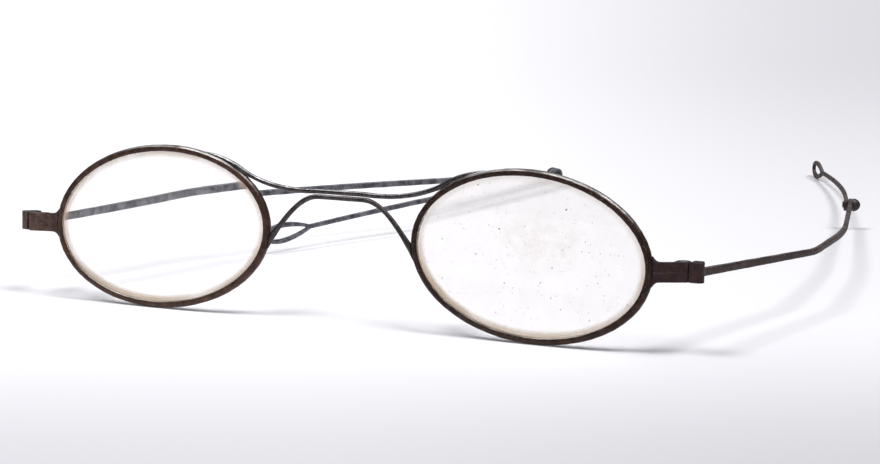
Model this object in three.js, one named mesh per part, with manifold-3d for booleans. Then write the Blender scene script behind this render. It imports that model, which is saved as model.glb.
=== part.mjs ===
// Antique turn-pin spectacles: steel wire rims, oval glasses, an X bridge and two-piece temples.
// Millimetres, +Z up. The front faces -Y and leans back a little, and the temples run back along +Y.
// A side is modelled on +X. The other side is the same side, mirrored.
import * as THREE from "three";
import { mergeVertices } from "three/addons/utils/BufferGeometryUtils.js";
import Module from "manifold-3d";

const wasm = await Module();
wasm.setup();
const radians = THREE.MathUtils.degToRad;

// Rims and glasses
const lensCentreDistance = 60.5;
const rimHalfWidth = 18.15; // oval through the middle of the rim wire
const rimHalfHeight = 12.0;
const rimDroop = radians(4.5); // the outer end of each oval hangs lower
const rimWireWidth = 1.0; // seen from the front
const rimWireDepth = 1.4; // from front to back
const rimCorner = 0.34; // bevel along the outer corners of the wire
const grooveDepth = 0.38;
const grooveLip = 0.25; // wall of the wire on each side of the groove
const rimSplit = 0.03; // slit between the two ends of a rim
const lensThickness = 1.5;

// Bridge
const bridgeWireDiameter = 0.78;
const bridgeHeight = 6.75; // of the brazed seam above the lens centres
const bridgeSeamHalf = 3.7; // half the length over which the wires lie together
const wireSeat = 0.15; // middle of a wire above the outside of the rim that it is brazed to
const upperWireMeets = radians(135); // place on the oval, from its outer end
const upperWireEnds = radians(112);
const upperWireDip = radians(4.2); // below level, where the wire leaves the seam
const upperWireLead = 6.8; // length over which it keeps the seam's direction
const upperWireClimb = 3.6; // length over which it takes the rim's direction
const lowerWireMeets = radians(188);
const lowerWireEnds = radians(203);
const lowerWireSlope = radians(52); // steepness where the lower wire reaches the rim
const lowerWireLead = 3.2;
const lowerWireFall = 3.5; // length over which it keeps that steepness
const brazeSwell = 0.4; // share by which a wire thickens where it is brazed to a rim
const brazeReach = 1.6;

// Joint between the front and a temple
const jointLevel = -0.75; // middle of the joint, at the rim, against the lens centres
const jointReach = 5.2; // from the rim to the shoulder of the temple
const jointHeight = 2.85;
const jointFlare = 0.9; // extra half height where a block runs out on the rim
const jointFlareLength = 1.0;
const leftJointLift = -0.2; // rise of the block's outer end
const rightJointLift = 0.42;
const plateThickness = 0.95;
const plateSetback = 0.12; // back of the plate in front of the back of the rim
const knuckleRadius = 1.0;
const knuckleHeight = 2.6; // all three knuckles, lower than the plate in front of them
const knuckleInset = 1.3; // hinge axis to the shoulder
const tongueHeight = 0.9;
const tongueNeck = 1.3; // width of the arm from the middle knuckle to the shoulder
const shoulderGap = 0.12; // slit between the joint blocks and the shoulder
const shoulderWidth = 1.95;
const shoulderDepth = 2.75;
const shoulderEdge = 1.15; // depth of its outer edge, behind which it tapers
const shoulderRound = 0.9;
const bossWidth = 1.35; // back of the shoulder, which carries the bar
const screwDiameter = 0.8;
const screwHeadDiameter = 1.3;
const screwHeadHeight = 0.3; // sunk into the upper knuckle
const screwCrown = 0.07; // rise of the head's middle
const screwSlotWidth = 0.22;
const screwSlotDepth = 0.2;
const screwSlotTurn = radians(25);

// Temple bar, from its joint to the turn pin
const barLength = 113.5;
const barHeight = 1.05;
const barThickness = 0.8;
const barRootHeight = 1.25;
const barTaperLength = 35;
const barDrop = 0.25; // start of the bar below the middle of its block
const barInset = 0.7; // middle of the bar outside the shoulder's inner face
const barSplay = radians(10.7); // outward lean of the straight first stretch
const barSplayLength = 1.6; // over which the bar leaves its block and takes that lean
const firstBendPlace = 36.5; // the two bends to the head
const firstBendLength = 5;
const firstBend = radians(17.2);
const secondBendPlace = 66.4;
const secondBendLength = 20.5;
const secondBend = radians(7.1);
const barEdge = 0.16;

// Turn pin and temple end
const eyeRadius = 1.15;
const pinDiameter = 0.75;
const pinHeadDiameter = 2.4; // outside, a tall dome
const pinHeadHeight = 1.35;
const pinTailDiameter = 1.4; // inside, hammered flat
const pinTailHeight = 0.22;
const endLength = 66.4; // from the turn pin to the tip of the loop
const endHeight = 1.05;
const endTipHeight = 0.85;
const endThickness = 0.7;
const endBend = radians(12);
const loopLength = 11.2;
const loopWidth = 3.6;
const loopBar = 0.85;
const loopNeck = 1.5; // solid stretch before the loop opens
const loopSeam = 0.6; // place of the braze between bar and loop, from the loop's point
const loopBevel = 0.13;
const openingBevel = 0.07;

// Clearances
const seatGap = 0.04; // between pieces that are brazed or held together
const runGap = 0.06; // between pieces that turn against each other

// Pose in which the spectacles stand on the table
const frontLean = radians(3.4);
const leftFold = radians(21.1); // the left temple is partly folded in
const rightFold = 0;
const leftRise = 2.6; // each bar is bent a little out of level, by this much at its turn pin
const rightRise = -0.9;
const leftTurn = radians(172.7); // the left end is turned forward under its bar
const rightTurnSearch = radians(20); // the right end is turned until it rests on the table

// Number of facets
const ovalSteps = 56;
const wireSides = 10;
const roundSides = 20;
const bendSteps = 12;
const cornerSteps = 6;
const restSteps = 40; // halvings that find the resting place

const steel = new THREE.MeshStandardMaterial({ color: 0x6a625a, roughness: 0.5, metalness: 0.9 });
const wornSteel = new THREE.MeshStandardMaterial({ color: 0x857d72, roughness: 0.42, metalness: 0.9 });
const rustySteel = new THREE.MeshStandardMaterial({ color: 0x5d4a40, roughness: 0.7, metalness: 0.7 });
const glass = new THREE.MeshStandardMaterial({
  color: 0xe4e8e4,
  roughness: 0.08,
  metalness: 0,
  transparent: true,
  opacity: 0.3,
});

// A closed geometry as a solid for joining and cutting, with its faces pointing out
function solid(geometry) {
  const bare = new THREE.BufferGeometry();
  bare.setAttribute("position", geometry.getAttribute("position").clone());
  if (geometry.index) bare.setIndex(geometry.index.clone());
  const merged = mergeVertices(bare, 1e-5);
  const vertProperties = merged.getAttribute("position").array;
  const triVerts = new Uint32Array(merged.index.array);
  const made = new wasm.Manifold(new wasm.Mesh({ numProp: 3, vertProperties, triVerts }));
  if (made.volume() > 0) return made;
  return new wasm.Manifold(new wasm.Mesh({ numProp: 3, vertProperties, triVerts: triVerts.reverse() }));
}

function meshOf(name, body, material) {
  const { vertProperties, triVerts } = body.getMesh();
  const geometry = new THREE.BufferGeometry();
  geometry.setAttribute("position", new THREE.BufferAttribute(new Float32Array(vertProperties), 3));
  geometry.setIndex(new THREE.BufferAttribute(new Uint32Array(triVerts), 1));
  geometry.computeVertexNormals();
  const mesh = new THREE.Mesh(geometry, material);
  mesh.name = name;
  return mesh;
}

// A closed skin over rings of points, drawn to one point at each end
function skin(rings, firstTip, lastTip) {
  const count = rings[0].length;
  const points = [...rings.flat(), firstTip, lastTip];
  const first = points.length - 2;
  const last = points.length - 1;
  const lastRing = (rings.length - 1) * count;
  const index = [];
  for (let k = 0; k < count; k++) {
    const next = (k + 1) % count;
    for (let ring = 0; ring < lastRing; ring += count) {
      index.push(ring + k, ring + next, ring + count + next);
      index.push(ring + k, ring + count + next, ring + count + k);
    }
    index.push(first, next, k);
    index.push(last, lastRing + k, lastRing + next);
  }
  const geometry = new THREE.BufferGeometry().setFromPoints(points);
  geometry.setIndex(index);
  return geometry;
}

// A shape drawn in the XY plane and given a height from zFrom to zTo
function planPlate(shape, zFrom, zTo) {
  const settings = { depth: zTo - zFrom, bevelEnabled: false, curveSegments: cornerSteps };
  return new THREE.ExtrudeGeometry(shape, settings).translate(0, 0, zFrom);
}

// A shape drawn in the XZ plane and given a thickness from yFrom to yTo
function frontPlate(shape, yFrom, yTo) {
  return planPlate(shape, -yTo, -yFrom).rotateX(Math.PI / 2);
}

// An upright cylinder about (x, y)
function post(radius, x, y, zFrom, zTo) {
  const geometry = new THREE.CylinderGeometry(radius, radius, zTo - zFrom, roundSides);
  return geometry.rotateX(Math.PI / 2).translate(x, y, (zFrom + zTo) / 2);
}

// A round disc or bore whose axis lies along X
function crossDisc(radius, xFrom, xTo) {
  const geometry = new THREE.CylinderGeometry(radius, radius, xTo - xFrom, roundSides);
  return geometry.rotateZ(Math.PI / 2).translate((xFrom + xTo) / 2, 0, 0);
}

// Point of the +X oval in the front plane, as (x, z), moved outwards by offset
function ovalPoint(angle, offset) {
  const onOval = new THREE.Vector2(rimHalfWidth * Math.cos(angle), rimHalfHeight * Math.sin(angle));
  const outward = new THREE.Vector2(rimHalfHeight * Math.cos(angle), rimHalfWidth * Math.sin(angle));
  const point = onOval.addScaledVector(outward.normalize(), offset);
  point.rotateAround(new THREE.Vector2(), -rimDroop);
  return point.add(new THREE.Vector2(lensCentreDistance / 2, 0));
}

// Direction of the oval's outline at an angle, towards smaller angles
function ovalTangent(angle) {
  const along = new THREE.Vector2(rimHalfWidth * Math.sin(angle), -rimHalfHeight * Math.cos(angle));
  return along.normalize().rotateAround(new THREE.Vector2(), -rimDroop);
}

// Angle at which the oval's outer end crosses the level of the joint
const ovalReach = Math.hypot(rimHalfWidth * Math.sin(rimDroop), rimHalfHeight * Math.cos(rimDroop));
const ovalLead = Math.atan2(rimHalfWidth * Math.sin(rimDroop), rimHalfHeight * Math.cos(rimDroop));
const splitAngle = ovalLead + Math.asin(jointLevel / ovalReach);
const splitHalf = rimSplit / 2 / rimHalfHeight;
const ovalAngles = [];
for (let k = 0; k <= ovalSteps; k++) {
  ovalAngles.push(splitAngle + splitHalf + (k / ovalSteps) * (2 * Math.PI - 2 * splitHalf));
}

// The rim: grooved wire bent round the oval and left open at the joint
const grooveHalf = rimWireDepth / 2 - grooveLip;
function rimBody() {
  const half = rimWireWidth / 2;
  const side = rimWireDepth / 2;
  const section = [
    [half, -side + rimCorner],
    [half, side - rimCorner],
    [half - rimCorner, side],
    [-half + grooveLip / 2, side],
    [-half, side - grooveLip / 2],
    [-half, grooveHalf],
    [-half + grooveDepth, 0],
    [-half, -grooveHalf],
    [-half, -side + grooveLip / 2],
    [-half + grooveLip / 2, -side],
    [half - rimCorner, -side],
  ];
  const at = (angle, offset, y) => {
    const point = ovalPoint(angle, offset);
    return new THREE.Vector3(point.x, y, point.y);
  };
  const rings = ovalAngles.map((angle) => section.map(([offset, y]) => at(angle, offset, y)));
  const core = grooveDepth / 2; // middle of what is left outside the groove
  return solid(skin(rings, at(ovalAngles[0], core, 0), at(ovalAngles[ovalSteps], core, 0)));
}

// The lens: two shallow domes and a bevel that sits in the groove
const domeShares = [0.35, 0.7, 1];
function lensBody() {
  const edge = -rimWireWidth / 2 + grooveDepth - seatGap;
  const shoulder = edge - grooveDepth;
  const rise = lensThickness / 2 - grooveHalf;
  const centre = new THREE.Vector2(lensCentreDistance / 2, 0);
  const ring = (offset, share, y) =>
    ovalAngles.map((angle) => {
      const point = ovalPoint(angle, offset).sub(centre).multiplyScalar(share).add(centre);
      return new THREE.Vector3(point.x, y, point.y);
    });
  const dome = (facing) =>
    domeShares.map((share) => ring(shoulder, share, facing * (grooveHalf + rise * (1 - share * share))));
  const rings = [...dome(-1), ring(edge, 1, 0), ...dome(1).reverse()];
  const tip = (y) => new THREE.Vector3(centre.x, y, 0);
  return solid(skin(rings, tip(-lensThickness / 2), tip(lensThickness / 2)));
}

// The space a rim fills, for fitting its neighbours to its outside
function rimSpace() {
  const outline = ovalAngles.map((angle) => ovalPoint(angle, rimWireWidth / 2 + seatGap));
  return frontPlate(new THREE.Shape(outline), -2 * rimWireDepth, 2 * rimWireDepth);
}

// A round wire along points of the front plane, given for +X and mirrored, thicker where it meets the rim
function bridgeWire(halfPath, meets) {
  const mirrored = halfPath.slice(1).reverse();
  const path = [...mirrored.map((point) => new THREE.Vector2(-point.x, point.y)), ...halfPath];
  const rings = path.map((point, k) => {
    const away = Math.hypot(Math.abs(point.x) - meets.x, point.y - meets.y) / brazeReach;
    const radius = (bridgeWireDiameter / 2) * (1 + brazeSwell * Math.exp(-away * away));
    const before = path[Math.max(k - 1, 0)];
    const after = path[Math.min(k + 1, path.length - 1)];
    const along = after.clone().sub(before).normalize();
    const ring = [];
    for (let s = 0; s < wireSides; s++) {
      const turn = (2 * Math.PI * s) / wireSides;
      const across = radius * Math.cos(turn);
      const deep = radius * Math.sin(turn);
      ring.push(new THREE.Vector3(point.x - along.y * across, deep, point.y + along.x * across));
    }
    return ring;
  });
  const tip = (point) => new THREE.Vector3(point.x, 0, point.y);
  const rims = solid(rimSpace()).add(solid(rimSpace().scale(-1, 1, 1)));
  return solid(skin(rings, tip(path[0]), tip(path[path.length - 1]))).subtract(rims);
}

// Wire centre above or below the seam, straight in the middle, and beside a rim
const wireOffset = (bridgeWireDiameter + seatGap) / 2;
const wireLies = rimWireWidth / 2 + wireSeat;
const settleSteps = bendSteps / 2;

// The upper wire dips a little beside the seam, climbs and runs out along the top of the rim
function upperWirePath() {
  const level = bridgeHeight + wireOffset;
  const start = new THREE.Vector2(bridgeSeamHalf, level);
  const leaves = new THREE.Vector2(Math.cos(upperWireDip), -Math.sin(upperWireDip));
  const meets = ovalPoint(upperWireMeets, wireLies);
  const along = ovalTangent(upperWireMeets);
  const sweep = new THREE.CubicBezierCurve(
    start,
    start.clone().addScaledVector(leaves, upperWireLead),
    meets.clone().addScaledVector(along, -upperWireClimb),
    meets,
  );
  const end = ovalPoint(upperWireEnds, 0);
  const turnsIn = meets.clone().addScaledVector(along, meets.distanceTo(end) / 2);
  const settle = new THREE.QuadraticBezierCurve(meets, turnsIn, end);
  const middle = new THREE.Vector2(0, level);
  return [middle, ...sweep.getPoints(bendSteps), ...settle.getPoints(settleSteps).slice(1)];
}

// The lower wire drops from the seam to the nose side of the rim
function lowerWirePath() {
  const level = bridgeHeight - wireOffset;
  const start = new THREE.Vector2(bridgeSeamHalf, level);
  const meets = ovalPoint(lowerWireMeets, wireLies);
  const along = new THREE.Vector2(Math.cos(lowerWireSlope), -Math.sin(lowerWireSlope));
  const sweep = new THREE.CubicBezierCurve(
    start,
    new THREE.Vector2(start.x + lowerWireLead, level),
    meets.clone().addScaledVector(along, -lowerWireFall),
    meets,
  );
  return [new THREE.Vector2(0, level), ...sweep.getPoints(bendSteps), ovalPoint(lowerWireEnds, 0)];
}

// Joint places, shared by the block halves, the screw and the temple
const plateBack = rimWireDepth / 2 - plateSetback;
const plateFront = plateBack - plateThickness;
const rootX = ovalPoint(splitAngle, rimWireWidth / 2).x;
const shoulderX = rootX + jointReach;
const axisX = shoulderX - knuckleInset;
const axisY = plateBack + 2 * runGap + knuckleRadius;
const screwBore = screwDiameter / 2 + runGap;
const jointHalf = jointHeight / 2;
const knuckleHalf = knuckleHeight / 2;
const headSeat = knuckleHalf - screwHeadHeight;

// One half of a joint block: facing 1 is the upper half and -1 the lower one.
// It is drawn as an upper half about the level of its outer end.
function jointBlockBody(facing, lift) {
  const level = jointLevel + lift;
  const seam = rimSplit / 2;
  const slope = (facing * lift) / jointReach;
  const at = (x, z) => new THREE.Vector2(x, z - slope * (shoulderX - x));
  const onRim = (turn, offset) => {
    const point = ovalPoint(splitAngle + facing * turn, offset);
    return new THREE.Vector2(point.x, facing * (point.y - level));
  };
  const flareTurn = Math.asin((jointHalf + jointFlare) / rimHalfHeight);
  const flareEnd = onRim(flareTurn, rimWireWidth / 2);
  const flareBend = at(rootX, jointHalf);
  const outline = new THREE.Shape([
    at(rootX - rimWireWidth, seam),
    at(shoulderX, seam),
    at(shoulderX, jointHalf),
    at(rootX + jointFlareLength, jointHalf),
  ]);
  outline.quadraticCurveTo(flareBend.x, flareBend.y, flareEnd.x, flareEnd.y);
  const inRim = onRim(flareTurn, 0);
  outline.lineTo(inRim.x, inRim.y);
  outline.closePath();
  const plate = solid(frontPlate(outline, plateFront, plateBack).scale(1, 1, facing));

  const plan = new THREE.Shape();
  plan.moveTo(axisX - knuckleRadius, plateBack - seatGap);
  plan.lineTo(axisX + knuckleRadius, plateBack - seatGap);
  plan.lineTo(axisX + knuckleRadius, axisY);
  plan.absarc(axisX, axisY, knuckleRadius, 0, Math.PI, false);
  plan.closePath();
  const knuckle = solid(planPlate(plan, tongueHeight / 2 + runGap, knuckleHalf).scale(1, 1, facing));

  const bore = solid(post(screwBore, axisX, axisY, -jointHeight, jointHeight));
  const recess = solid(post(screwHeadDiameter / 2 + seatGap, axisX, axisY, headSeat - seatGap, jointHeight));
  const rim = solid(rimSpace().translate(0, 0, -level));
  return plate.add(knuckle).subtract(bore).subtract(recess).subtract(rim);
}

// The hinge screw: a slotted head sunk into the upper knuckle and a shank through all three
function hingeScrewBody() {
  const headRadius = screwHeadDiameter / 2;
  const shank = screwDiameter / 2;
  const profile = [
    new THREE.Vector2(0, -knuckleHalf),
    new THREE.Vector2(shank, -knuckleHalf),
    new THREE.Vector2(shank, headSeat),
    new THREE.Vector2(headRadius, headSeat),
    new THREE.Vector2(headRadius, knuckleHalf - screwCrown),
    new THREE.Vector2(headRadius / 2, knuckleHalf),
    new THREE.Vector2(0, knuckleHalf + screwCrown),
  ];
  const turned = new THREE.LatheGeometry(profile, roundSides).rotateX(Math.PI / 2);
  const slot = new THREE.BoxGeometry(2 * screwHeadDiameter, screwSlotWidth, 2 * screwSlotDepth);
  slot.rotateZ(screwSlotTurn).translate(0, 0, knuckleHalf + screwCrown);
  return solid(turned).subtract(solid(slot));
}

// The temple's front block: a shoulder that stops on the joint blocks and the middle knuckle.
// It is drawn about the hinge axis, with the shoulder outwards.
const shoulderInner = knuckleInset + shoulderGap;
const shoulderFront = plateFront - axisY;
const shoulderBack = shoulderFront + shoulderDepth;
function templeJointBody() {
  const outer = shoulderInner + shoulderWidth;
  const outline = new THREE.Shape();
  outline.moveTo(shoulderInner, shoulderFront);
  outline.lineTo(outer - shoulderRound, shoulderFront);
  const round = new THREE.Vector2(outer - shoulderRound, shoulderFront + shoulderRound);
  outline.absarc(round.x, round.y, shoulderRound, -Math.PI / 2, 0, false);
  outline.lineTo(outer, shoulderFront + shoulderEdge);
  outline.lineTo(shoulderInner + bossWidth, shoulderBack);
  outline.lineTo(shoulderInner, shoulderBack);
  outline.closePath();
  const shoulder = solid(planPlate(outline, -jointHalf, jointHalf));

  const reach = shoulderInner + bossWidth / 2;
  const neck = tongueNeck / 2;
  const tongue = new THREE.Shape();
  tongue.moveTo(reach, -neck);
  tongue.lineTo(reach, Math.min(neck, shoulderBack));
  tongue.lineTo(0, knuckleRadius);
  tongue.absarc(0, 0, knuckleRadius, Math.PI / 2, 1.5 * Math.PI, false);
  tongue.closePath();
  const knuckle = solid(planPlate(tongue, -tongueHeight / 2, tongueHeight / 2));
  const bore = solid(post(screwBore, 0, 0, -jointHeight, jointHeight));
  return shoulder.add(knuckle).subtract(bore);
}

// Bar of eight-sided section over stations { x, y, z, heading, height }, heading outwards from +Y
function flatBar(stations, thickness) {
  const rings = stations.map(({ x, y, z, heading, height }) => {
    const halfT = thickness / 2;
    const halfH = height / 2;
    const corners = [
      [halfT, halfH - barEdge],
      [halfT - barEdge, halfH],
      [-halfT + barEdge, halfH],
      [-halfT, halfH - barEdge],
      [-halfT, -halfH + barEdge],
      [-halfT + barEdge, -halfH],
      [halfT - barEdge, -halfH],
      [halfT, -halfH + barEdge],
    ];
    const across = new THREE.Vector3(Math.cos(heading), -Math.sin(heading), 0);
    return corners.map(([side, up]) => new THREE.Vector3(x, y, z + up).addScaledVector(across, side));
  });
  const tip = ({ x, y, z }) => new THREE.Vector3(x, y, z);
  return solid(skin(rings, tip(stations[0]), tip(stations[stations.length - 1])));
}

// Stations along a level curve whose heading is a function of the length run
function runAlong(start, lengths, headingAt, heightAt) {
  const stations = [];
  let { x, y } = start;
  let before = 0;
  for (const length of lengths) {
    const heading = headingAt((before + length) / 2);
    x += Math.sin(heading) * (length - before);
    y += Math.cos(heading) * (length - before);
    stations.push({ x, y, z: 0, heading: headingAt(length), height: heightAt(length) });
    before = length;
  }
  return stations;
}

// Stations of a temple bar, about its hinge axis
const barBends = [
  { place: firstBendPlace, length: firstBendLength, angle: firstBend },
  { place: secondBendPlace, length: secondBendLength, angle: secondBend },
];
function barStations(rise) {
  const marks = [0, barSplayLength / 2, barSplayLength, barTaperLength, barLength];
  for (const bend of barBends) {
    for (let k = 0; k <= bendSteps; k++) marks.push(bend.place + bend.length * (k / bendSteps - 0.5));
  }
  const lengths = [...new Set(marks)].filter((mark) => mark <= barLength).sort((a, b) => a - b);
  const share = (length, from, span) => THREE.MathUtils.clamp((length - from) / span, 0, 1);
  const headingAt = (length) => {
    let heading = barSplay * share(length, 0, barSplayLength);
    for (const bend of barBends) {
      heading -= bend.angle * share(length, bend.place - bend.length / 2, bend.length);
    }
    return heading;
  };
  const heightAt = (length) =>
    THREE.MathUtils.lerp(barRootHeight, barHeight, share(length, 0, barTaperLength));
  const start = { x: shoulderInner + barInset, y: shoulderBack + seatGap };
  const stations = runAlong(start, lengths, headingAt, heightAt);
  stations.forEach((station, k) => {
    station.z = THREE.MathUtils.lerp(-barDrop, rise, lengths[k] / barLength);
  });
  return stations;
}

// A frame at the turn pin: +Y goes on along the bar and +X points outwards
function pinFrame(stations) {
  const { x, y, z, heading } = stations[stations.length - 1];
  const frame = new THREE.Group();
  frame.position.set(x, y, z);
  frame.rotation.z = -heading;
  frame.updateMatrix();
  return frame;
}

function templeBarBody(stations, frame) {
  const place = (geometry) => solid(geometry.applyMatrix4(frame.matrix));
  const eye = place(crossDisc(eyeRadius, -barThickness / 2, barThickness / 2));
  const bore = place(crossDisc(pinDiameter / 2 + runGap, -barThickness, barThickness));
  return flatBar(stations, barThickness).add(eye).subtract(bore);
}

// The turn pin: a rivet along X, with a tall dome outside the bar and a flat tail inside the end piece
const endMiddle = -(barThickness / 2 + runGap + endThickness / 2);
function turnPinBody() {
  const outside = barThickness / 2 + seatGap;
  const inside = endMiddle - endThickness / 2 - runGap;
  const shank = pinDiameter / 2;
  const head = pinHeadDiameter / 2;
  const tail = pinTailDiameter / 2;
  const profile = [new THREE.Vector2(0, inside - pinTailHeight)];
  profile.push(new THREE.Vector2(tail / 2, inside - pinTailHeight));
  profile.push(new THREE.Vector2(tail, inside - pinTailHeight / 2));
  profile.push(new THREE.Vector2(tail, inside));
  profile.push(new THREE.Vector2(shank, inside));
  profile.push(new THREE.Vector2(shank, outside));
  for (let k = 0; k < cornerSteps; k++) {
    const turn = (k / cornerSteps) * (Math.PI / 2);
    profile.push(new THREE.Vector2(head * Math.cos(turn), outside + pinHeadHeight * Math.sin(turn)));
  }
  profile.push(new THREE.Vector2(0, outside + pinHeadHeight));
  return solid(new THREE.LatheGeometry(profile, roundSides).rotateZ(-Math.PI / 2));
}

// A flat upright drop along +Y, pointed at its start and round at its far end, with bevelled edges
const dropWidest = 0.77; // largest value of sin(t) sin(t / 2), which gives the drop its width
function dropSolid(start, length, width, thickness, bevel) {
  const outline = (inset, x) => {
    const points = [];
    for (let k = 0; k < roundSides; k++) {
      const t = (2 * Math.PI * (k + 0.5)) / roundSides;
      const along = start + inset + (length / 2 - inset) * (1 - Math.cos(t));
      const up = ((width / 2 - inset) * Math.sin(t) * Math.sin(t / 2)) / dropWidest;
      points.push(new THREE.Vector3(x, along, up));
    }
    return points;
  };
  const half = thickness / 2;
  const rings = [
    outline(bevel, -half),
    outline(0, -half + bevel),
    outline(0, half - bevel),
    outline(bevel, half),
  ];
  const middle = (x) => new THREE.Vector3(x, start + length / 2, 0);
  return skin(rings, middle(-half), middle(half));
}

// The temple end, drawn from the turn pin along +Y: an eye and a bent bar, with an open loop brazed on
function templeEndBodies() {
  const runLength = endLength - loopLength;
  const lengths = [];
  for (let k = 0; k <= bendSteps; k++) lengths.push((runLength * k) / bendSteps);
  const stations = runAlong(
    { x: endMiddle, y: 0 },
    lengths,
    (length) => (-endBend * length) / runLength,
    (length) => THREE.MathUtils.lerp(endHeight, endTipHeight, length / runLength),
  );
  const last = stations[stations.length - 1];
  stations.push({
    ...last,
    x: last.x + Math.sin(last.heading) * loopNeck,
    y: last.y + Math.cos(last.heading) * loopNeck,
  });

  const loop = dropSolid(0, loopLength, loopWidth, endThickness, loopBevel);
  const openLength = loopLength - loopNeck - loopBar;
  const openWidth = loopWidth - 2 * loopBar;
  const opening = dropSolid(loopNeck, openLength, openWidth, 2 * endThickness, openingBevel);
  const atTip = (geometry) => solid(geometry.rotateZ(-last.heading).translate(last.x, last.y, 0));

  const eye = solid(crossDisc(eyeRadius, endMiddle - endThickness / 2, endMiddle + endThickness / 2));
  const boreRadius = pinDiameter / 2 + runGap;
  const bore = solid(crossDisc(boreRadius, endMiddle - endThickness, endMiddle + endThickness));
  const whole = flatBar(stations, endThickness).add(eye).add(atTip(loop));
  const pierced = whole.subtract(atTip(opening)).subtract(bore);

  const outward = new THREE.Vector3(Math.sin(last.heading), Math.cos(last.heading), 0);
  const seam = outward.dot(new THREE.Vector3(last.x, last.y, 0)) + loopSeam;
  return {
    endBar: pierced.trimByPlane(outward.clone().negate().toArray(), -seam),
    endLoop: pierced.trimByPlane(outward.toArray(), seam + seatGap),
  };
}

// One side of the spectacles, drawn on +X and mirrored for the left
function buildSide(name, mirror, { fold, rise, lift }) {
  const side = new THREE.Group();
  side.scale.x = mirror;
  side.add(meshOf(`${name}_rim`, rimBody(), steel));
  side.add(meshOf(`${name}_lens`, lensBody(), glass));

  const joint = new THREE.Group();
  joint.position.z = jointLevel + lift;
  joint.add(meshOf(`${name}_joint_upper`, jointBlockBody(1, lift), rustySteel));
  joint.add(meshOf(`${name}_joint_lower`, jointBlockBody(-1, lift), rustySteel));
  side.add(joint);

  const hinge = new THREE.Group();
  hinge.position.set(axisX, axisY, 0);
  hinge.add(meshOf(`${name}_hinge_screw`, hingeScrewBody(), wornSteel));
  joint.add(hinge);

  const temple = new THREE.Group();
  temple.rotation.z = fold;
  const stations = barStations(rise);
  const pin = pinFrame(stations);
  temple.add(meshOf(`${name}_temple_joint`, templeJointBody(), rustySteel));
  temple.add(meshOf(`${name}_temple_bar`, templeBarBody(stations, pin), steel));
  pin.add(meshOf(`${name}_turn_pin`, turnPinBody(), wornSteel));
  temple.add(pin);
  hinge.add(temple);

  const end = new THREE.Group();
  const { endBar, endLoop } = templeEndBodies();
  end.add(meshOf(`${name}_temple_end`, endBar, steel));
  end.add(meshOf(`${name}_temple_loop`, endLoop, steel));
  pin.add(end);
  return { side, end };
}

// Turns a temple end about its pin until its lowest point is at the level of the table
function restOnTable(end, search, table) {
  let high = -search;
  let low = search;
  const bottomAt = (turn) => {
    end.rotation.x = -turn;
    end.parent.updateWorldMatrix(true, true);
    return new THREE.Box3().setFromObject(end, true).min.z;
  };
  for (let k = 0; k < restSteps; k++) {
    const middle = (high + low) / 2;
    if (bottomAt(middle) > table) high = middle;
    else low = middle;
  }
  bottomAt(high);
}

const front = new THREE.Group();
front.rotation.x = -frontLean;
const left = buildSide("left", -1, { fold: leftFold, rise: leftRise, lift: leftJointLift });
const right = buildSide("right", 1, { fold: rightFold, rise: rightRise, lift: rightJointLift });
front.add(left.side, right.side);
const upperWire = bridgeWire(upperWirePath(), ovalPoint(upperWireMeets, wireLies));
const lowerWire = bridgeWire(lowerWirePath(), ovalPoint(lowerWireMeets, wireLies));
front.add(meshOf("bridge_upper_wire", upperWire, wornSteel));
front.add(meshOf("bridge_lower_wire", lowerWire, steel));

// The spectacles stand on both rims and the right end, with the origin under their middle
front.updateWorldMatrix(true, true);
const rims = ["left_rim", "right_rim"].map((name) => front.getObjectByName(name));
const table = Math.min(...rims.map((rim) => new THREE.Box3().setFromObject(rim, true).min.z));
left.end.rotation.x = -leftTurn;
restOnTable(right.end, rightTurnSearch, table);

const spectacles = new THREE.Group();
spectacles.name = "spectacles";
spectacles.add(front);
const box = new THREE.Box3().setFromObject(spectacles, true);
const middle = box.getCenter(new THREE.Vector3());
front.position.set(-middle.x, -middle.y, -box.min.z);

export default spectacles;
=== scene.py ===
import math

import bmesh
import bpy
from mathutils import Euler, Matrix, Vector, noise


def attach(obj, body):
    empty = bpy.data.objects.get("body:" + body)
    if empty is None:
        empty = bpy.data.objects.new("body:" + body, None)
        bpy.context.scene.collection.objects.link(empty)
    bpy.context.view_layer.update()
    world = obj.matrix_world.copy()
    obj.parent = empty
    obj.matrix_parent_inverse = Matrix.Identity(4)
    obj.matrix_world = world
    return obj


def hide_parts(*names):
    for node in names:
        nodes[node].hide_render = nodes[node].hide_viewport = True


# Looks of the antique spectacles: patinated steel, dusty lenses and a white table.
# The frame is in metres. Shapes below are drawn in millimetres and scaled by MM.

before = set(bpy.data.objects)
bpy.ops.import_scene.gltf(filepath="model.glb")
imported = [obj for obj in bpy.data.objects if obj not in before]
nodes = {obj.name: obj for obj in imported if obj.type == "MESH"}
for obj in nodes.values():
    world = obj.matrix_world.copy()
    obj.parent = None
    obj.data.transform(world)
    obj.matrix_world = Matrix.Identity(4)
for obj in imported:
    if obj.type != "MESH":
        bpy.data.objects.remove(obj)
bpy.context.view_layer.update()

MM = 0.001

# Camera, from the photograph's perspective: place in mm, turn in degrees
CAMERA_PLACE = (158.149, -410.190, 76.615)
CAMERA_TURN = (80.1418, -0.2036, 24.1455)
CAMERA_LENS = 101.45
CAMERA_SENSOR = 36.0
CAMERA_NEAR = 0.01  # metres

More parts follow.
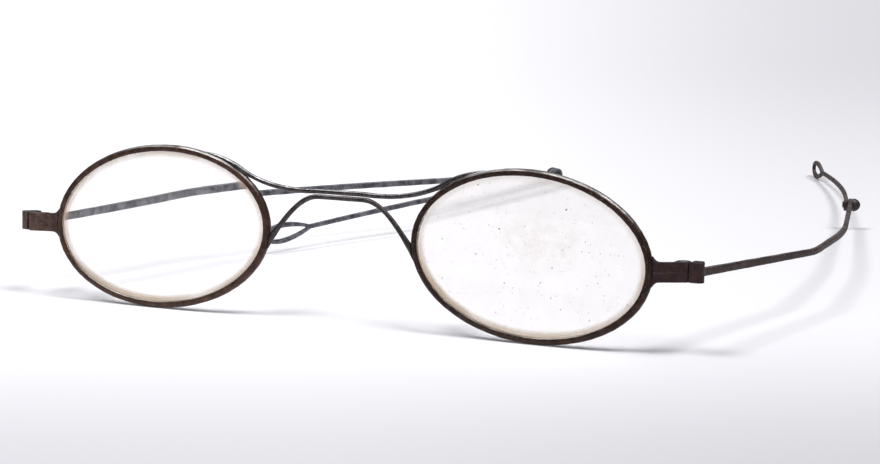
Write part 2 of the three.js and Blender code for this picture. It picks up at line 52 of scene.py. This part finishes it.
# Plane of the front, in which the lenses are drawn
FRONT_PLACE = (-2.6739, -86.9799, 12.5319)
FRONT_LEAN = math.radians(-3.4)
LENS_CENTRE = 30.25
LENS_DROOP = math.radians(4.5)
RIM_HALF_WIDTH = 18.15
RIM_HALF_HEIGHT = 12.0
LENS_EDGE = -0.16  # tip of the bevel in the groove, against the middle of the rim wire
LENS_SHOULDER = -0.54
LENS_EDGE_HALF = 0.45
LENS_RISE = 0.3  # of each dome
LENS_SIDES = 192
LENS_RINGS = 28

# Glass with dust on both lenses, and a brown stain in the middle of the right one.
# A noise is given by its scale per mm, its detail and, where it has its own, its roughness. Levels are the
# values of the noise between which its effect comes in.
GLASS_IOR = 1.5
DUST_COLOUR = (0.97, 0.92, 0.90, 1)
DUST_NOISE = (0.35, 6.0, 0.65)
DUST_LEVELS = (0.3, 0.75)
DUST_LEAST = 0.4  # part of the dust that lies everywhere
DUST_THROUGH = 0.5  # part of its light that passes
STAIN_COLOUR = (0.62, 0.45, 0.26, 1)
STAIN_PLACE = (29.4, -87.0, 15.0)
STAIN_SIZE = (9.0, 30.0, 5.5)
STAIN_FADE = (0.15, 1.0)  # parts of that size between which it fades
STAIN_NOISE = (0.4, 6.0, 0.65)
STAIN_LEVELS = (0.36, 0.7)

# Specks on that lens: grid per mm, share of its cells that hold one, and darkness
SPECKS = [(0.3, 0.4, 1.0), (0.7, 0.25, 0.45), (1.5, 0.3, 0.2)]
SPECK_COLOUR = (0.08, 0.06, 0.05, 1)
SPECK_SIZE = 0.16  # largest radius
SPECK_BLUR = 0.04
SPECK_CHOICE = 0.01  # width of the step from an empty cell to one with a speck

# Cream band where the glass meets the rim: grime, and painted light of the bevel, lighter towards the top;
# where it fades and how unevenly
EDGE_GRIME_AND_LIGHT = (0.05, 1.0)
EDGE_RAGGED = 0.3
EDGE_RAGGED_NOISE = (0.25, 3.0)
EDGE_HEIGHTS = (3.0, 19.0)  # heights between which the band changes from its low to its high colour and amount
GRIME_AND_LIGHT_LOW = (0.72, 0.58, 0.44, 1)
GRIME_AND_LIGHT_HIGH = (1.0, 0.76, 0.54, 1)
GRIME_AND_LIGHT_NOISE = (0.09, 2.0)
GRIME_AND_LIGHT_LEVELS = (0.35, 0.6)
GRIME_AND_LIGHT_LEAST = 0.45
EDGE_SHADE = (1.0, 3.2)  # distances from the edge between which it stops less and less light
EDGE_PASSES = (0.05, 0.97)  # light that passes there

# Old steel: clouds, grain, rust, and a painted highlight in patches on what faces up
CLOUD_NOISE = (0.7, 5.0)
CLOUD_LEVELS = (0.3, 0.7)
GRAIN_NOISE = (3.6, 4.0, 0.7)
GRAIN_PALE = (0.55, 0.75)
GRAIN_PALE_SHARE = 0.3
GRAIN_DARK = (0.28, 0.45)
GRAIN_DARK_SHARE = 0.6
GRAIN_ROUGH = (0.3, 0.7)
SMOOTHER = 0.1  # change of roughness on the finest and the coarsest grain
ROUGHER = 0.12
RUST_COLOUR = (0.062, 0.028, 0.017, 1)
RUST_NOISE = (0.9, 6.0, 0.7)
RUST_FROM = (0.62, 0.3)  # level where rust begins, and its drop at a full share of rust
RUST_FULL = (0.75, 0.25)
RUST_COVER = 0.7
TOP_HIGHLIGHT_UP = (0.5, 0.9)  # height of the normal between which the painted highlight begins and is full
TOP_HIGHLIGHT_NOISE = (0.2, 4.0)
TOP_HIGHLIGHT_LEVELS = (0.4, 0.58)
TOP_HIGHLIGHT_LEAST = 0.25
TOP_HIGHLIGHT_BARE = 0.5  # strength of the painted highlight at which the metal is bare
TOP_HIGHLIGHT_METALLIC = 0.95
PIT_DEPTH = 0.03
PIT_STRENGTH = 0.45
STEEL_SPECULAR = 0.25

# Which CAD nodes get a finer skin: voxel size and smoothing steps
SKINS = {
    "rim": (0.11, 8),
    "wire": (0.09, 8),
    "joint": (0.055, 2),
    "screw": (0.05, 2),
    "bar": (0.11, 6),
    "pin": (0.07, 5),
    "end": (0.1, 6),
    "loop": (0.08, 4),
}
HAND_MADE = 0.035  # depth of the slow waviness of the old metal
HAND_MADE_SCALE = 0.35
WELD = 1e-4  # corners of the CAD mesh closer than this are one
SMOOTHING = 0.5  # of each smoothing step

# Places of a Mix node's sockets for colours, which share their names with its other sockets
MIX_INPUTS = (0, 6, 7)
MIX_RESULT = 2


# Small helpers for shader nodes
class Shader:
    def __init__(self, name):
        self.material = bpy.data.materials.new(name)
        self.material.use_nodes = True
        self.tree = self.material.node_tree
        self.tree.nodes.clear()
        self.out = self.tree.nodes.new("ShaderNodeOutputMaterial")

    def add(self, kind, **settings):
        node = self.tree.nodes.new(kind)
        for key, value in settings.items():
            setattr(node, key, value)
        return node

    def link(self, source, target):
        self.tree.links.new(source, target)

    # A socket takes a plain value or the output of another node
    def put(self, value, socket):
        if isinstance(value, bpy.types.NodeSocket):
            self.link(value, socket)
        else:
            socket.default_value = value

    def feed(self, node, **inputs):
        for key, value in inputs.items():
            self.put(value, node.inputs[key.replace("_", " ")])
        return node

    # Places on the piece in millimetres
    def places(self):
        coords = self.add("ShaderNodeTexCoord")
        scale = self.add("ShaderNodeVectorMath", operation="SCALE")
        self.link(coords.outputs["Object"], scale.inputs[0])
        scale.inputs["Scale"].default_value = 1 / MM
        return scale.outputs[0]

    def noise(self, where, scale, detail, roughness=0.6):
        node = self.add("ShaderNodeTexNoise")
        self.feed(node, Vector=where, Scale=scale, Detail=detail, Roughness=roughness)
        return node.outputs["Fac"]

    # Smooth step of a value from low to high
    def step(self, value, low, high, start=0.0, end=1.0):
        node = self.add("ShaderNodeMapRange", interpolation_type="SMOOTHSTEP")
        self.feed(node, Value=value, From_Min=low, From_Max=high, To_Min=start, To_Max=end)
        return node.outputs["Result"]

    def math(self, operation, a, b):
        node = self.add("ShaderNodeMath", operation=operation)
        for socket, value in zip(node.inputs, (a, b)):
            self.put(value, socket)
        return node.outputs[0]

    # Two colours mixed
    def mix(self, amount, a, b, blend_type="MIX"):
        node = self.add("ShaderNodeMix", data_type="RGBA", blend_type=blend_type)
        for index, value in zip(MIX_INPUTS, (amount, a, b)):
            self.put(value, node.inputs[index])
        return node.outputs[MIX_RESULT]

    # Two shaders mixed
    def blend(self, amount, a, b):
        node = self.add("ShaderNodeMixShader")
        for socket, value in zip(node.inputs, (amount, a, b)):
            self.put(value, socket)
        return node.outputs[0]


# Old steel: clouds of patina, fine pits and specks, patches of brown rust, and a painted highlight in
# bright patches on what faces up
def old_steel(name, dark, pale, bright, rust_share, top_highlight, metallic, roughness):
    s = Shader(name)
    where = s.places()
    cloud = s.step(s.noise(where, *CLOUD_NOISE), *CLOUD_LEVELS)
    grain = s.noise(where, *GRAIN_NOISE)
    base = s.mix(cloud, (*dark, 1), (*pale, 1))
    base = s.mix(s.step(grain, *GRAIN_PALE, 0.0, GRAIN_PALE_SHARE), base, (*bright, 1))
    base = s.mix(s.step(grain, *GRAIN_DARK, GRAIN_DARK_SHARE, 0.0), base, (*dark, 1))

    begins, full = [level - drop * rust_share for level, drop in (RUST_FROM, RUST_FULL)]
    rusty = s.step(s.noise(where, *RUST_NOISE), begins, full)
    base = s.mix(s.math("MULTIPLY", rusty, RUST_COVER), base, RUST_COLOUR)

    # Painted highlight: what faces up is made brighter and more metallic, in patches
    up = s.add("ShaderNodeSeparateXYZ")
    s.link(s.add("ShaderNodeNewGeometry").outputs["Normal"], up.inputs[0])
    facing_up = s.step(up.outputs["Z"], *TOP_HIGHLIGHT_UP)
    highlight_patches = s.step(s.noise(where, *TOP_HIGHLIGHT_NOISE), *TOP_HIGHLIGHT_LEVELS, TOP_HIGHLIGHT_LEAST, 1.0)
    worn_and_highlit = s.math("MULTIPLY", s.math("MULTIPLY", facing_up, highlight_patches), top_highlight)
    base = s.mix(worn_and_highlit, base, (*bright, 1))

    pits = s.add("ShaderNodeBump")
    s.feed(pits, Strength=PIT_STRENGTH, Distance=PIT_DEPTH * MM, Height=grain)
    metal = s.add("ShaderNodeBsdfPrincipled")
    s.feed(
        metal,
        Base_Color=base,
        Metallic=s.step(worn_and_highlit, 0.0, TOP_HIGHLIGHT_BARE, metallic, TOP_HIGHLIGHT_METALLIC),
        Roughness=s.step(grain, *GRAIN_ROUGH, roughness - SMOOTHER, roughness + ROUGHER),
        Specular_IOR_Level=STEEL_SPECULAR,
        Normal=pits.outputs["Normal"],
    )
    s.link(metal.outputs[0], s.out.inputs["Surface"])
    return s.material


# Glass that bends light, with grime and painted light near the edge and a film of dust.
# Its shadow is that of upright glass under high lamps: what the faces reflect is missing on the table.
def old_glass(name, tint, dust, smudge, specks, edge_band_low, edge_band_high):
    s = Shader(name)
    where = s.places()
    inner = s.add("ShaderNodeNewGeometry").outputs["Backfacing"]
    outer = s.math("SUBTRACT", 1.0, inner)
    glass = s.add("ShaderNodeBsdfPrincipled")
    s.feed(
        glass,
        Base_Color=(*tint, 1),
        Roughness=0.0,
        IOR=GLASS_IOR,
        Transmission_Weight=1.0,
    )
    film = s.add("ShaderNodeBsdfDiffuse")
    s.feed(film, Color=DUST_COLOUR)
    through = s.add("ShaderNodeBsdfTranslucent")
    s.feed(through, Color=DUST_COLOUR)
    haze = s.blend(DUST_THROUGH, film.outputs[0], through.outputs[0])
    veil = s.step(s.noise(where, *DUST_NOISE), *DUST_LEVELS, dust * DUST_LEAST, dust)
    look = s.blend(veil, glass.outputs[0], haze)

    stain = s.add("ShaderNodeBsdfDiffuse")
    s.feed(stain, Color=STAIN_COLOUR)
    offset = s.add("ShaderNodeVectorMath", operation="SUBTRACT")
    s.link(where, offset.inputs[0])
    offset.inputs[1].default_value = STAIN_PLACE
    spread = s.add("ShaderNodeVectorMath", operation="MULTIPLY")
    s.link(offset.outputs[0], spread.inputs[0])
    spread.inputs[1].default_value = [1 / size for size in STAIN_SIZE]
    reach = s.add("ShaderNodeVectorMath", operation="LENGTH")
    s.link(spread.outputs[0], reach.inputs[0])
    within = s.step(reach.outputs["Value"], *STAIN_FADE, smudge, 0.0)
    blotch = s.step(s.noise(where, *STAIN_NOISE), *STAIN_LEVELS)
    stained = s.math("MULTIPLY", s.math("MULTIPLY", within, blotch), outer)
    look = s.blend(stained, look, stain.outputs[0])

    dirt = s.add("ShaderNodeBsdfDiffuse")
    s.feed(dirt, Color=SPECK_COLOUR)
    place = s.add("ShaderNodeSeparateXYZ")
    s.link(where, place.inputs[0])
    face = s.add("ShaderNodeCombineXYZ")
    s.feed(face, X=place.outputs["X"], Y=place.outputs["Z"])
    for scale, share, strength in SPECKS:
        cells = s.add("ShaderNodeTexVoronoi", voronoi_dimensions="2D")
        s.feed(cells, Vector=face.outputs[0], Scale=scale)
        chance = s.add("ShaderNodeSeparateColor")
        s.link(cells.outputs["Color"], chance.inputs[0])
        chosen = s.step(chance.outputs[0], 1 - share, 1 - share + SPECK_CHOICE)
        radius = s.math("MULTIPLY", s.math("MULTIPLY", chance.outputs[1], chosen), SPECK_SIZE * scale)
        inside = s.math("SUBTRACT", cells.outputs["Distance"], radius)
        dots = s.step(inside, -SPECK_BLUR * scale, 0.0, specks * strength, 0.0)
        look = s.blend(s.math("MULTIPLY", dots, outer), look, dirt.outputs[0])

    # Cream band at the edge: grime, and painted light of the bevel, painted lighter towards the top
    grime_and_light = s.add("ShaderNodeBsdfDiffuse")
    height = s.step(place.outputs["Z"], *EDGE_HEIGHTS)
    s.feed(grime_and_light, Color=s.mix(height, GRIME_AND_LIGHT_LOW, GRIME_AND_LIGHT_HIGH))
    inward = s.add("ShaderNodeAttribute", attribute_name="inward")
    ragged = s.math("MULTIPLY", s.noise(where, *EDGE_RAGGED_NOISE), EDGE_RAGGED)
    near = s.math("SUBTRACT", inward.outputs["Fac"], ragged)
    edge = s.step(near, *EDGE_GRIME_AND_LIGHT, 1.0, 0.0)
    by_height = s.step(place.outputs["Z"], *EDGE_HEIGHTS, edge_band_low, edge_band_high)
    uneven = s.step(s.noise(where, *GRIME_AND_LIGHT_NOISE), *GRIME_AND_LIGHT_LEVELS, GRIME_AND_LIGHT_LEAST, 1.0)
    edge = s.math("MULTIPLY", edge, s.math("MULTIPLY", by_height, uneven))
    look = s.blend(edge, look, grime_and_light.outputs[0])

    path = s.add("ShaderNodeLightPath")
    clear = s.add("ShaderNodeBsdfTransparent")
    mirrored = s.feed(s.add("ShaderNodeFresnel"), IOR=GLASS_IOR).outputs[0]
    passed = s.math("SUBTRACT", 1.0, s.math("MULTIPLY", mirrored, outer))
    passed = s.math("MULTIPLY", passed, passed)
    whole = s.step(inward.outputs["Fac"], *EDGE_SHADE, *EDGE_PASSES)
    s.feed(clear, Color=s.math("MULTIPLY", passed, whole))
    look = s.blend(path.outputs["Is Shadow Ray"], look, clear.outputs[0])
    s.link(look, s.out.inputs["Surface"])
    return s.material


# A finer, rounder and slightly wavy skin in place of a CAD node
def fine_skin(node, kind, material, body):
    voxel, steps = SKINS[kind]
    mesh = nodes[node].data.copy()
    mesh.transform(Matrix.Scale(1 / MM, 4))
    welded = bmesh.new()
    welded.from_mesh(mesh)
    bmesh.ops.remove_doubles(welded, verts=welded.verts, dist=WELD)
    welded.to_mesh(mesh)
    welded.free()
    rough = bpy.data.objects.new("rough", mesh)
    bpy.context.scene.collection.objects.link(rough)
    remesh = rough.modifiers.new("remesh", "REMESH")
    remesh.mode = "VOXEL"
    remesh.voxel_size = voxel
    smooth = rough.modifiers.new("smooth", "SMOOTH")
    smooth.factor = SMOOTHING
    smooth.iterations = steps
    bpy.context.view_layer.update()
    done = rough.evaluated_get(bpy.context.evaluated_depsgraph_get())
    fine = bpy.data.meshes.new_from_object(done)
    bpy.data.objects.remove(rough)

    normals = [v.normal.copy() for v in fine.vertices]
    for vertex, normal in zip(fine.vertices, normals):
        vertex.co += normal * (HAND_MADE * noise.noise(vertex.co * HAND_MADE_SCALE))
    fine.transform(Matrix.Scale(MM, 4))
    fine.shade_smooth()
    fine.materials.clear()
    fine.materials.append(material)
    piece = bpy.data.objects.new(node + "_skin", fine)
    bpy.context.scene.collection.objects.link(piece)
    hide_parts(node)
    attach(piece, body)


# Point of a lens oval in the front plane, for the side with that sign
def oval_point(side, angle, offset):
    on_oval = Vector((RIM_HALF_WIDTH * math.cos(angle), RIM_HALF_HEIGHT * math.sin(angle)))
    outward = Vector((RIM_HALF_HEIGHT * math.cos(angle), RIM_HALF_WIDTH * math.sin(angle))).normalized()
    point = on_oval + outward * offset
    point.rotate(Matrix.Rotation(-LENS_DROOP, 2))
    return Vector((side * (LENS_CENTRE + point.x), point.y))


# A lens: two smooth domes that meet in a bevel
def lens(node, side, material):
    centre = Vector((side * LENS_CENTRE, 0))
    angles = [2 * math.pi * k / LENS_SIDES for k in range(LENS_SIDES)]
    rings = []
    for facing in (-1, 1):
        shares = [math.sin(0.5 * math.pi * r / LENS_RINGS) for r in range(1, LENS_RINGS + 1)]
        dome = []
        for share in shares:
            y = facing * (LENS_EDGE_HALF + LENS_RISE * (1 - share * share))
            ring = []
            for angle in angles:
                edge = oval_point(side, angle, LENS_SHOULDER)
                point = centre.lerp(edge, share)
                ring.append((Vector((point.x, y, point.y)), (edge - point).length))
            dome.append(ring)
        rings += dome if facing < 0 else dome[::-1]
        if facing < 0:
            tips = [oval_point(side, angle, LENS_EDGE) for angle in angles]
            rings.append([(Vector((tip.x, 0, tip.y)), 0.0) for tip in tips])

    made = bmesh.new()
    inward = made.verts.layers.float.new("inward")
    to_world = Matrix.Translation(Vector(FRONT_PLACE)) @ Matrix.Rotation(FRONT_LEAN, 4, "X")

    def vertex(place, depth):
        v = made.verts.new((to_world @ place) * MM)
        v[inward] = depth
        return v

    grid = [[vertex(place, depth) for place, depth in ring] for ring in rings]
    for lower, upper in zip(grid, grid[1:]):
        for k in range(LENS_SIDES):
            n = (k + 1) % LENS_SIDES
            made.faces.new((lower[k], lower[n], upper[n], upper[k]))
    for ring, facing in ((grid[0], -1), (grid[-1], 1)):
        y = facing * (LENS_EDGE_HALF + LENS_RISE)
        tip = vertex(Vector((centre.x, y, 0)), RIM_HALF_HEIGHT)
        for k in range(LENS_SIDES):
            made.faces.new((tip, ring[k], ring[(k + 1) % LENS_SIDES]))
    bmesh.ops.recalc_face_normals(made, faces=made.faces)
    mesh = bpy.data.meshes.new(node + "_skin")
    made.to_mesh(mesh)
    made.free()
    mesh.shade_smooth()
    mesh.materials.append(material)
    piece = bpy.data.objects.new(node + "_skin", mesh)
    bpy.context.scene.collection.objects.link(piece)
    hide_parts(node)
    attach(piece, "front")


# Finishes: dark and pale tone of the clouds, bright specks and the painted highlight on what faces up, and
# how rusty it is and how strong that highlight is
left_patina = old_steel(
    "brown steel, left",
    dark=(0.034, 0.016, 0.0105), pale=(0.096, 0.049, 0.034), bright=(0.62, 0.61, 0.60),
    rust_share=0.3, top_highlight=0.95, metallic=0.3, roughness=0.42)
right_patina = old_steel(
    "brown steel, right",
    dark=(0.0145, 0.0063, 0.004), pale=(0.050, 0.025, 0.0165), bright=(0.62, 0.61, 0.60),
    rust_share=0.3, top_highlight=0.95, metallic=0.3, roughness=0.42)
left_rusty = old_steel(
    "rusty steel, left",
    dark=(0.056, 0.034, 0.030), pale=(0.170, 0.105, 0.092), bright=(0.30, 0.29, 0.27),
    rust_share=0.45, top_highlight=0.8, metallic=0.3, roughness=0.55)
right_rusty = old_steel(
    "rusty steel, right",
    dark=(0.024, 0.012, 0.013), pale=(0.056, 0.030, 0.032), bright=(0.20, 0.18, 0.19),
    rust_share=0.3, top_highlight=0.8, metallic=0.3, roughness=0.55)
# Grey steel of the upper bridge wire, with the strongest painted highlight on what faces up
worn_and_highlit = old_steel(
    "worn steel",
    dark=(0.036, 0.030, 0.031), pale=(0.100, 0.088, 0.088), bright=(0.74, 0.74, 0.77),
    rust_share=0.05, top_highlight=1.0, metallic=0.85, roughness=0.34)
dull = old_steel(
    "dull steel",
    dark=(0.031, 0.025, 0.024), pale=(0.090, 0.076, 0.073), bright=(0.42, 0.42, 0.43),
    rust_share=0.15, top_highlight=0.8, metallic=0.6, roughness=0.42)
dark_pin = old_steel(
    "dark pin",
    dark=(0.026, 0.021, 0.021), pale=(0.055, 0.047, 0.047), bright=(0.20, 0.19, 0.19),
    rust_share=0.2, top_highlight=0.4, metallic=0.4, roughness=0.5)
dark_temple = old_steel(
    "dark temple steel",
    dark=(0.018, 0.010, 0.010), pale=(0.068, 0.040, 0.040), bright=(0.85, 0.80, 0.80),
    rust_share=0.35, top_highlight=0.12, metallic=0.1, roughness=0.6)
pale_temple = old_steel(
    "pale temple steel",
    dark=(0.052, 0.051, 0.062), pale=(0.240, 0.238, 0.270), bright=(0.50, 0.51, 0.55),
    rust_share=0.05, top_highlight=0.6, metallic=0.5, roughness=0.5)
clear_glass = old_glass(
    "clear old glass", tint=(0.985, 0.985, 0.975), dust=0.02,
    smudge=0.0, specks=0.0, edge_band_low=0.7, edge_band_high=0.4)
dusty_glass = old_glass(
    "dusty old glass", tint=(0.995, 0.98, 0.96), dust=0.07,
    smudge=0.2, specks=0.9, edge_band_low=0.95, edge_band_high=0.14)

SIDES = [
    ("left", -1, clear_glass, left_patina, left_rusty, pale_temple),
    ("right", 1, dusty_glass, right_patina, right_rusty, dark_temple),
]
for side, sign, glass, patina, rusty, temple in SIDES:
    lens(f"{side}_lens", sign, glass)
    fine_skin(f"{side}_rim", "rim", patina, "front")
    fine_skin(f"{side}_joint_upper", "joint", rusty, "front")
    fine_skin(f"{side}_joint_lower", "joint", rusty, "front")
    fine_skin(f"{side}_hinge_screw", "screw", dull, "front")
    fine_skin(f"{side}_temple_joint", "joint", rusty, f"{side}_temple")
    fine_skin(f"{side}_temple_bar", "bar", temple, f"{side}_temple")
    fine_skin(f"{side}_turn_pin", "pin", dark_pin, f"{side}_temple")
    fine_skin(f"{side}_temple_end", "end", temple, f"{side}_end")
    fine_skin(f"{side}_temple_loop", "loop", temple, f"{side}_end")
fine_skin("bridge_upper_wire", "wire", worn_and_highlit, "front")
fine_skin("bridge_lower_wire", "wire", dull, "front")

# White table with painted shade: it darkens a little towards the viewer and to the right, as in the
# photograph
FLOOR_HALF = 4000.0
FLOOR_LEVEL = -0.02
NEAR_PAINTED_SHADE = (272.0, 372.0)  # distances from the camera between which the painted shade of the near edge comes in
NEAR_DROP = 0.285
RIGHT_PAINTED_SHADE = (-0.08, 0.2)  # sideways share of the distance over which the painted shade on the right comes in
RIGHT_DROP = 0.09
FAR_PAINTED_SHADE = (270.0, 760.0)  # distances between which the painted shade on the right side deepens
FAR_DROP = 0.25
NEAREST = 200.0
FLOOR_GLOW = 0.1  # where the table is seen, straight or through glass, so that it looks white
FLOOR_COLOUR = (0.962, 0.957, 1.0, 1)
# Tint of the table where its shade is painted
FLOOR_SHADE_TINT = (0.99, 0.985, 1.0, 1)
FLOOR_SHADE_TINT_GAIN = 2.0  # how much sooner the tint comes than the painted shade


def floor_look():
    s = Shader("white table")
    place = s.add("ShaderNodeVectorMath", operation="SUBTRACT")
    s.link(s.places(), place.inputs[0])
    place.inputs[1].default_value = CAMERA_PLACE
    heading = math.radians(CAMERA_TURN[2])

    def along(direction):
        node = s.add("ShaderNodeVectorMath", operation="DOT_PRODUCT")
        s.link(place.outputs[0], node.inputs[0])
        node.inputs[1].default_value = direction
        return node.outputs["Value"]

    right = along((math.cos(heading), math.sin(heading), 0))
    away = s.math("MAXIMUM", along((-math.sin(heading), math.cos(heading), 0)), NEAREST)
    # Painted shade, from the place on the table relative to the camera
    near = s.step(away, *NEAR_PAINTED_SHADE, NEAR_DROP, 0.0)
    beside = s.step(s.math("DIVIDE", right, away), *RIGHT_PAINTED_SHADE)
    depth = s.step(away, *FAR_PAINTED_SHADE, RIGHT_DROP, RIGHT_DROP + FAR_DROP)
    shade = s.math("ADD", near, s.math("MULTIPLY", beside, depth))
    tone = s.mix(shade, FLOOR_COLOUR, (0, 0, 0, 1))
    tint = s.mix(s.math("MULTIPLY", shade, FLOOR_SHADE_TINT_GAIN), tone, FLOOR_SHADE_TINT, "MULTIPLY")
    table = s.add("ShaderNodeBsdfDiffuse")
    s.feed(table, Color=tint)
    path = s.add("ShaderNodeLightPath")
    seen = path.outputs["Is Camera Ray"]
    for ray in ("Is Glossy Ray", "Is Transmission Ray"):
        seen = s.math("MAXIMUM", seen, path.outputs[ray])
    glow = s.add("ShaderNodeEmission")
    s.feed(glow, Color=tint, Strength=s.math("MULTIPLY", seen, FLOOR_GLOW))
    both = s.add("ShaderNodeAddShader")
    s.link(table.outputs[0], both.inputs[0])
    s.link(glow.outputs[0], both.inputs[1])
    s.link(both.outputs[0], s.out.inputs["Surface"])
    return s.material


def floor():
    h = FLOOR_HALF * MM
    mesh = bpy.data.meshes.new("table")
    corners = [(-h, -h), (h, -h), (h, h), (-h, h)]
    mesh.from_pydata([(x, y, FLOOR_LEVEL * MM) for x, y in corners], [], [(0, 1, 2, 3)])
    mesh.materials.append(floor_look())
    table = bpy.data.objects.new("table", mesh)
    bpy.context.scene.collection.objects.link(table)


floor()

# Soft light from above, darker at the level of the table, and two broad lamps:
# direction towards the lamp, strength, and width in degrees
SKY_LOW = 0.065
SKY_HIGH = 0.18
SKY_TINT = (0.985, 0.99, 1.0, 1)
LAMPS = [
    ("lamp right", (0.473, -0.089, 1.0), 1.66, 23.0),
    ("lamp left", (-0.302, -0.354, 1.0), 1.54, 23.0),
]


def sky():
    world = bpy.data.worlds.new("sky")
    bpy.context.scene.world = world
    world.use_nodes = True
    tree = world.node_tree
    coords = tree.nodes.new("ShaderNodeTexCoord")
    split = tree.nodes.new("ShaderNodeSeparateXYZ")
    tree.links.new(coords.outputs["Generated"], split.inputs[0])
    level = tree.nodes.new("ShaderNodeMapRange")
    level.inputs["To Min"].default_value = SKY_LOW
    level.inputs["To Max"].default_value = SKY_HIGH
    tree.links.new(split.outputs["Z"], level.inputs["Value"])
    background = tree.nodes["Background"]
    background.inputs["Color"].default_value = SKY_TINT
    tree.links.new(level.outputs[0], background.inputs["Strength"])


sky()
for name, towards, strength, spread in LAMPS:
    lamp = bpy.data.lights.new(name, "SUN")
    lamp.energy = strength
    lamp.angle = math.radians(spread)
    holder = bpy.data.objects.new(name, lamp)
    holder.rotation_euler = Vector(towards).to_track_quat("Z", "Y").to_euler()
    bpy.context.scene.collection.objects.link(holder)

# Camera
view = bpy.data.cameras.new("camera")
view.lens = CAMERA_LENS
view.sensor_width = CAMERA_SENSOR
view.clip_start = CAMERA_NEAR
camera = bpy.data.objects.new("camera", view)
camera.location = Vector(CAMERA_PLACE) * MM
camera.rotation_euler = Euler([math.radians(a) for a in CAMERA_TURN], "XYZ")
bpy.context.scene.collection.objects.link(camera)
bpy.context.scene.camera = camera
bpy.context.scene.view_settings.view_transform = "Standard"
